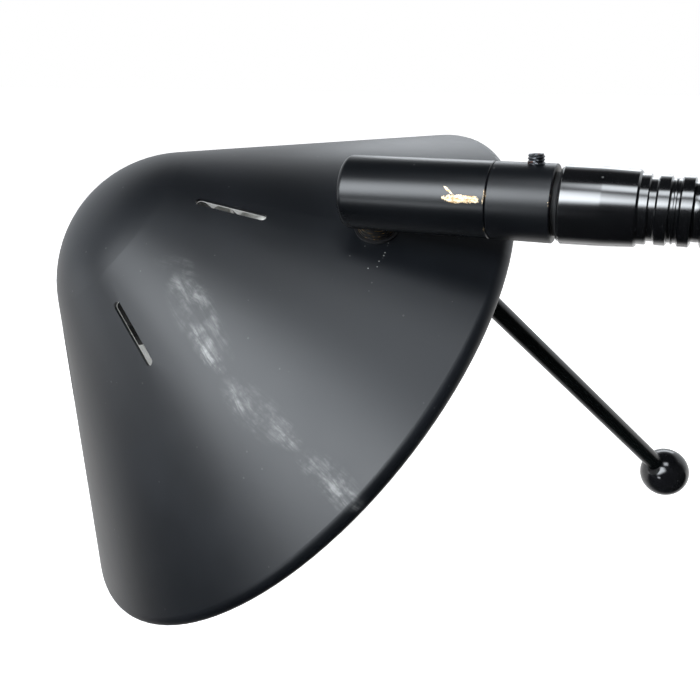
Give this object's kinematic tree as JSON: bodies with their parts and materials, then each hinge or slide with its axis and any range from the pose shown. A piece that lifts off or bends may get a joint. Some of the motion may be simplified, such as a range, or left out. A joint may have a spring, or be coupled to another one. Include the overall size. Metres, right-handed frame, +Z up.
{
  "type": "balance arm desk lamp",
  "caption": "Black desk lamp: a conical vented shade with an aiming handle on a swivel knuckle and ribbed flexible neck, on a balanced arm over a weighted round base.",
  "frame": {"origin": "centre of the round foot pad, on the table", "axes": "+Z up; X along the balance arm at rest, shade towards -X and counterweight towards +X; +Y to the side that the shade faces"},
  "size_m": [0.7493, 0.2117, 0.464],
  "materials": {
    "satin_black": "satin black paint",
    "gloss_black": "gloss black enamel",
    "hose": "gloss black enamel on a wound steel hose",
    "ballast": "as cast",
    "steel": "plain",
    "rusty_steel": "blackened, rusted at the thread",
    "brass": "turned",
    "nylon": "moulded",
    "phenolic": "moulded",
    "switch": "moulded",
    "felt": "felt",
    "rubber": "moulded",
    "bulb_cap": "rolled",
    "glass": "frosted"
  },
  "bodies": {
    "base": {"base_shell": "satin_black", "ballast_disc": "ballast", "base_plate": "steel", "base_pad": "felt", "base_screws": "steel", "switch_body": "phenolic", "switch_ring": "gloss_black", "cable_gland": "rubber", "column_stud": "steel", "stud_washer": "steel", "stud_nut": "steel", "column_socket": "gloss_black", "column_tube": "satin_black", "column_bush": "brass", "swivel_washer": "nylon"},
    "button": {"switch_button": "switch"},
    "fork": {"fork": "satin_black", "spigot_ring": "steel", "pivot_bolt": "satin_black"},
    "knob": {"pivot_knob": "gloss_black"},
    "arm": {"arm_block": "satin_black", "friction_washers": "nylon", "block_screws": "steel", "arm_tube": "satin_black", "arm_cap": "gloss_black", "rear_ferrule": "gloss_black", "rear_set_screw": "steel"},
    "weight": {"counterweight": "satin_black"},
    "thumbscrew": {"weight_screw": "gloss_black"},
    "neck_01": {"neck_section_01": "hose"},
    "neck_02": {"neck_section_02": "hose"},
    "neck_03": {"neck_section_03": "hose"},
    "neck_04": {"neck_section_04": "hose"},
    "neck_05": {"neck_section_05": "hose"},
    "neck_06": {"neck_section_06": "hose"},
    "neck_07": {"neck_section_07": "hose"},
    "neck_08": {"neck_section_08": "hose"},
    "neck_09": {"neck_section_09": "hose"},
    "neck_10": {"neck_section_10": "hose"},
    "neck_11": {"neck_section_11": "hose"},
    "neck_12": {"neck_section_12": "hose"},
    "collar": {"front_ferrule": "gloss_black", "neck_collar": "satin_black", "collar_ring": "steel", "set_screw": "rusty_steel"},
    "knuckle": {"knuckle": "satin_black"},
    "head": {"shade": "satin_black", "shade_post": "brass", "post_ring": "steel", "post_washer": "nylon", "post_nut": "steel", "lamp_bracket": "steel", "lampholder_body": "phenolic", "lampholder_ring": "phenolic", "lampholder_sleeve": "brass", "bulb_cap": "bulb_cap", "bulb_glass": "glass", "handle_rod": "satin_black", "handle_ball": "gloss_black"}
  },
  "joints": [
    {"name": "switch_press", "type": "slide", "parent": "base", "child": "button", "axis": [0, 0, -1], "range_m": [0, 0.0025], "stiffness_N_per_m": 400, "springref_m": -0.002},
    {"name": "arm_swivel", "type": "hinge", "parent": "base", "child": "fork", "pos_m": [0, 0, 0.37], "axis": [0, 0, 1], "range_deg": [-170, 170]},
    {"name": "clamp_knob", "type": "hinge", "parent": "fork", "child": "knob", "pos_m": [0, -0.0178, 0.4], "axis": [0, -1, 0], "range_deg": [0, 180]},
    {"name": "arm_tilt", "type": "hinge", "parent": "fork", "child": "arm", "pos_m": [0, 0, 0.4], "axis": [0, 1, 0], "range_deg": [-25, 35]},
    {"name": "weight_slide", "type": "slide", "parent": "arm", "child": "weight", "axis": [1, 0, 0], "range_m": [-0.025, 0.025]},
    {"name": "weight_screw_turn", "type": "hinge", "parent": "weight", "child": "thumbscrew", "pos_m": [0.168, 0, 0.45], "axis": [0, 0, 1], "range_deg": [0, 180]},
    {"name": "neck_nod_1", "type": "hinge", "parent": "arm", "child": "neck_01", "pos_m": [-0.1491, 0, 0.42], "axis": [0, 1, 0], "range_deg": [-6.5, 6.5]},
    {"name": "neck_sway_1", "type": "hinge", "parent": "neck_01", "child": "neck_02", "pos_m": [-0.1632, 0, 0.42], "axis": [0, 0, 1], "range_deg": [-6.5, 6.5]},
    {"name": "neck_nod_2", "type": "hinge", "parent": "neck_02", "child": "neck_03", "pos_m": [-0.1773, 0, 0.42], "axis": [0, 1, 0], "range_deg": [-6.5, 6.5]},
    {"name": "neck_sway_2", "type": "hinge", "parent": "neck_03", "child": "neck_04", "pos_m": [-0.1914, 0, 0.42], "axis": [0, 0, 1], "range_deg": [-6.5, 6.5]},
    {"name": "neck_nod_3", "type": "hinge", "parent": "neck_04", "child": "neck_05", "pos_m": [-0.2055, 0, 0.42], "axis": [0, 1, 0], "range_deg": [-6.5, 6.5]},
    {"name": "neck_sway_3", "type": "hinge", "parent": "neck_05", "child": "neck_06", "pos_m": [-0.2196, 0, 0.42], "axis": [0, 0, 1], "range_deg": [-6.5, 6.5]},
    {"name": "neck_nod_4", "type": "hinge", "parent": "neck_06", "child": "neck_07", "pos_m": [-0.2337, 0, 0.42], "axis": [0, 1, 0], "range_deg": [-6.5, 6.5]},
    {"name": "neck_sway_4", "type": "hinge", "parent": "neck_07", "child": "neck_08", "pos_m": [-0.2478, 0, 0.42], "axis": [0, 0, 1], "range_deg": [-6.5, 6.5]},
    {"name": "neck_nod_5", "type": "hinge", "parent": "neck_08", "child": "neck_09", "pos_m": [-0.2619, 0, 0.42], "axis": [0, 1, 0], "range_deg": [-6.5, 6.5]},
    {"name": "neck_sway_5", "type": "hinge", "parent": "neck_09", "child": "neck_10", "pos_m": [-0.276, 0, 0.42], "axis": [0, 0, 1], "range_deg": [-6.5, 6.5]},
    {"name": "neck_nod_6", "type": "hinge", "parent": "neck_10", "child": "neck_11", "pos_m": [-0.2901, 0, 0.42], "axis": [0, 1, 0], "range_deg": [-6.5, 6.5]},
    {"name": "neck_sway_6", "type": "hinge", "parent": "neck_11", "child": "neck_12", "pos_m": [-0.3042, 0, 0.42], "axis": [0, 0, 1], "range_deg": [-6.5, 6.5]},
    {"name": "neck_nod_7", "type": "hinge", "parent": "neck_12", "child": "collar", "pos_m": [-0.3183, 0, 0.42], "axis": [0, 1, 0], "range_deg": [-6.5, 6.5]},
    {"name": "knuckle_turn", "type": "hinge", "parent": "collar", "child": "knuckle", "pos_m": [-0.36285, 0, 0.42], "axis": [1, 0, 0], "range_deg": [-170, 170]},
    {"name": "shade_turn", "type": "hinge", "parent": "knuckle", "child": "head", "pos_m": [-0.39314, 0.00319, 0.41508], "axis": [0.2147, -0.5319, 0.8191], "range_deg": [-120, 120]}
  ],
  "couplings": [
    {"joint": "neck_nod_2", "follows": "neck_nod_1", "ratio": 1},
    {"joint": "neck_sway_2", "follows": "neck_sway_1", "ratio": 1},
    {"joint": "neck_nod_3", "follows": "neck_nod_1", "ratio": 1},
    {"joint": "neck_sway_3", "follows": "neck_sway_1", "ratio": 1},
    {"joint": "neck_nod_4", "follows": "neck_nod_1", "ratio": 1},
    {"joint": "neck_sway_4", "follows": "neck_sway_1", "ratio": 1},
    {"joint": "neck_nod_5", "follows": "neck_nod_1", "ratio": 1},
    {"joint": "neck_sway_5", "follows": "neck_sway_1", "ratio": 1},
    {"joint": "neck_nod_6", "follows": "neck_nod_1", "ratio": 1},
    {"joint": "neck_sway_6", "follows": "neck_sway_1", "ratio": 1},
    {"joint": "neck_nod_7", "follows": "neck_nod_1", "ratio": 1}
  ]
}
